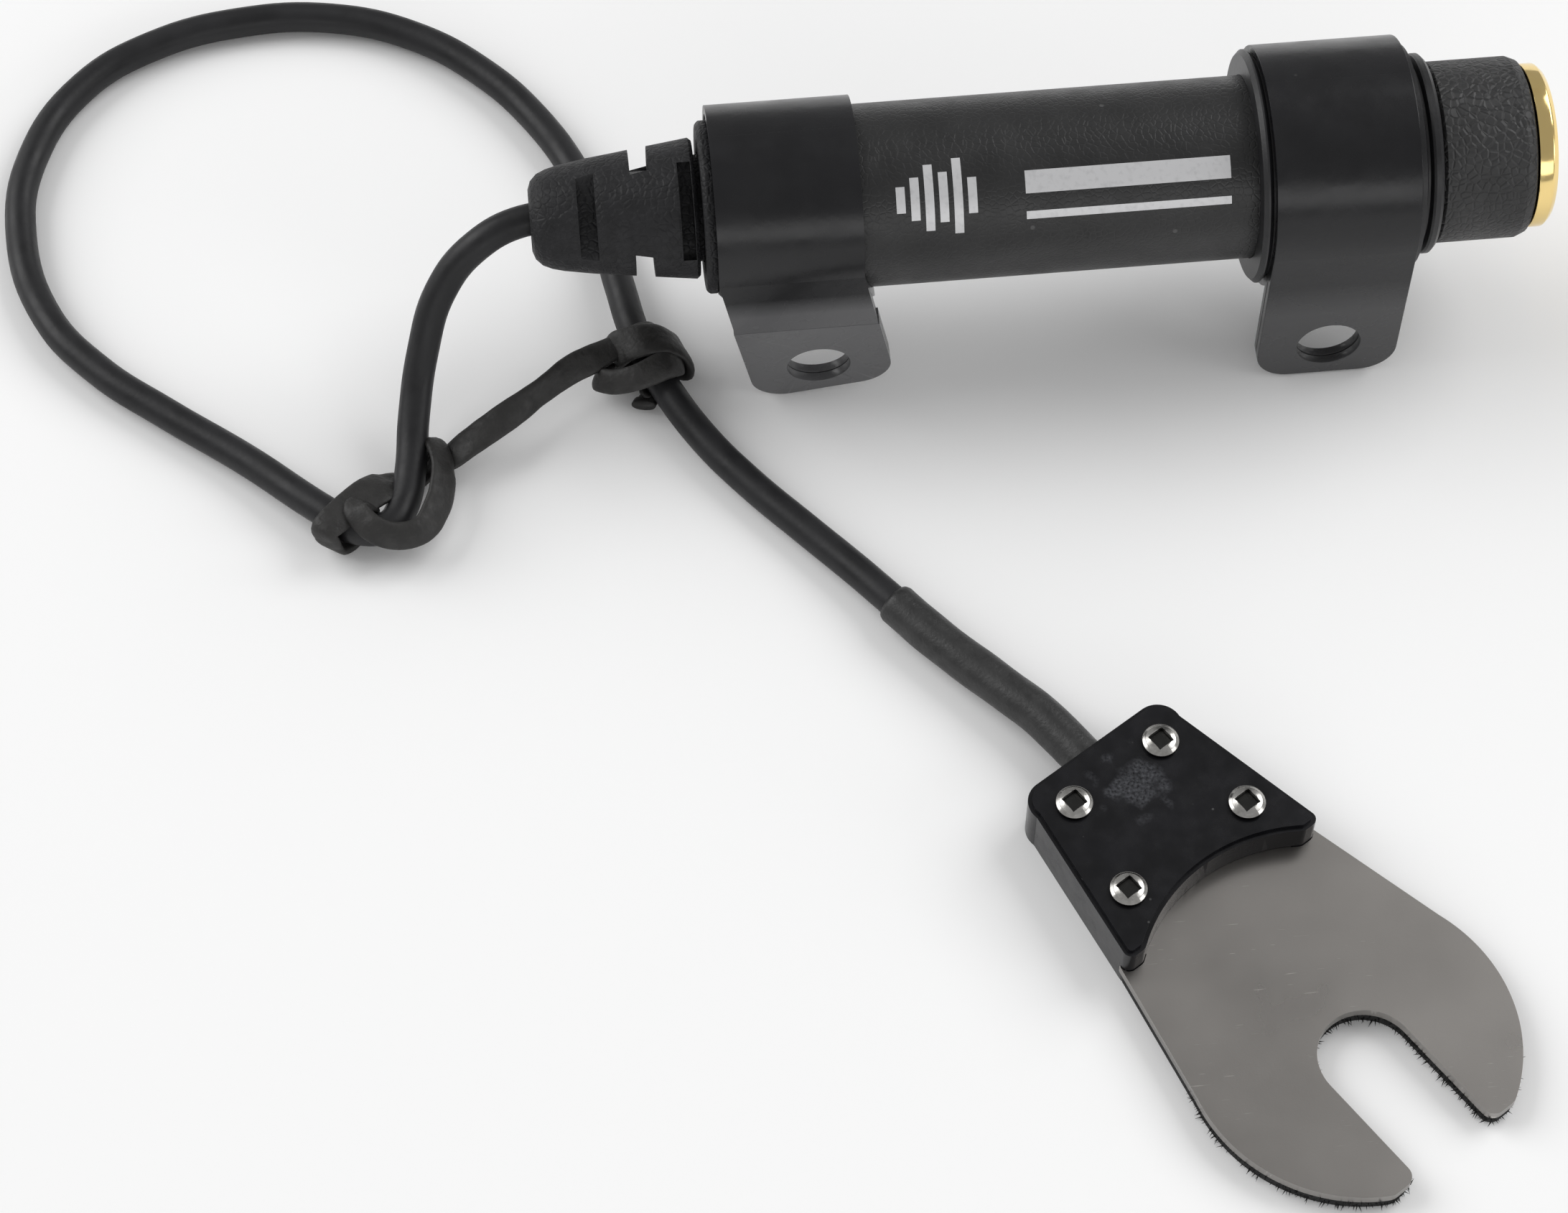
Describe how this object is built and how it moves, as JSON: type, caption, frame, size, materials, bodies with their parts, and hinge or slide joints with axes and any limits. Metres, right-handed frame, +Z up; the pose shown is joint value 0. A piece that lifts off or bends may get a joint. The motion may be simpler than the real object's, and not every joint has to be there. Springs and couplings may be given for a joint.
{
  "type": "bridge transducer pickup",
  "caption": "Forked bridge transducer pickup with a thin cable, an in-line jack socket and strap clips for fastening it to an instrument.",
  "frame": {"origin": "centre of the bounding box of the barrel and sensor, on the surface they stand on; the free cable, its sleeve and its lace are left out", "axes": "+X along the jack barrel from the cable boot to the socket mouth, +Z up, sensor lying towards -Y"},
  "size_m": [0.1331, 0.1266, 0.0272],
  "materials": {
    "tube_black": "black satin paint",
    "cap_black": "fine-grained black",
    "gold": "gold plated",
    "carrier": "natural moulding",
    "spring": "plated spring strip",
    "lug": "tinned",
    "boot": "matte black",
    "nut": "black moulding",
    "clamp": "natural moulding",
    "red_wire": "insulated",
    "copper": "bare copper",
    "grommet": "soft black rubber",
    "strap": "satin black strap",
    "housing": "gloss black moulding",
    "screw": "polished",
    "plate": "satin nickel",
    "pad": "black fibre",
    "film": "metallised film",
    "board": "green board",
    "cable": "satin black jacket",
    "sleeve": "shrunk sleeve",
    "lace": "matte black flat lace"
  },
  "bodies": {
    "unit": {"barrel_tube": "tube_black", "end_cap": "cap_black", "mouth_bushing": "gold", "jack_carrier": "carrier", "tip_lug": "lug", "sleeve_lug": "lug", "boot": "boot", "boot_nut": "nut", "cord_clamp": "clamp", "signal_wire": "red_wire", "shield_wire": "copper", "grommet": "grommet", "housing_base": "housing", "housing_cover": "housing", "cover_screws": "screw", "fork_plate": "plate", "fibre_pad": "pad", "piezo_film": "film", "foil_electrode": "copper", "connection_board": "board", "cable_saddle": "lug", "signal_core": "red_wire", "shield_core": "copper", "cable": "cable", "shrink_sleeve": "sleeve", "lace_knot_1": "lace", "lace_span": "lace", "lace_knot_2": "lace"},
    "left_clip": {"left_clip": "strap"},
    "right_clip": {"right_clip": "strap"},
    "tip_contact": {"tip_contact": "spring"},
    "sleeve_contact": {"sleeve_contact": "spring"}
  },
  "joints": [
    {"name": "left_clip_turn", "type": "hinge", "parent": "unit", "child": "left_clip", "pos_m": [-0.02175, 0.03896, 0.017], "axis": [1, 0, 0], "continuous": true},
    {"name": "right_clip_turn", "type": "hinge", "parent": "unit", "child": "right_clip", "pos_m": [0.0247, 0.03896, 0.017], "axis": [1, 0, 0], "continuous": true},
    {"name": "tip_contact_flex", "type": "hinge", "parent": "unit", "child": "tip_contact", "pos_m": [0.0095, 0.03896, 0.0226], "axis": [0, -1, 0], "range_deg": [0, 6], "stiffness_Nm_per_rad": 0.1},
    {"name": "sleeve_contact_flex", "type": "hinge", "parent": "unit", "child": "sleeve_contact", "pos_m": [0.0267, 0.03896, 0.0114], "axis": [0, -1, 0], "range_deg": [0, 6], "stiffness_Nm_per_rad": 0.1}
  ]
}
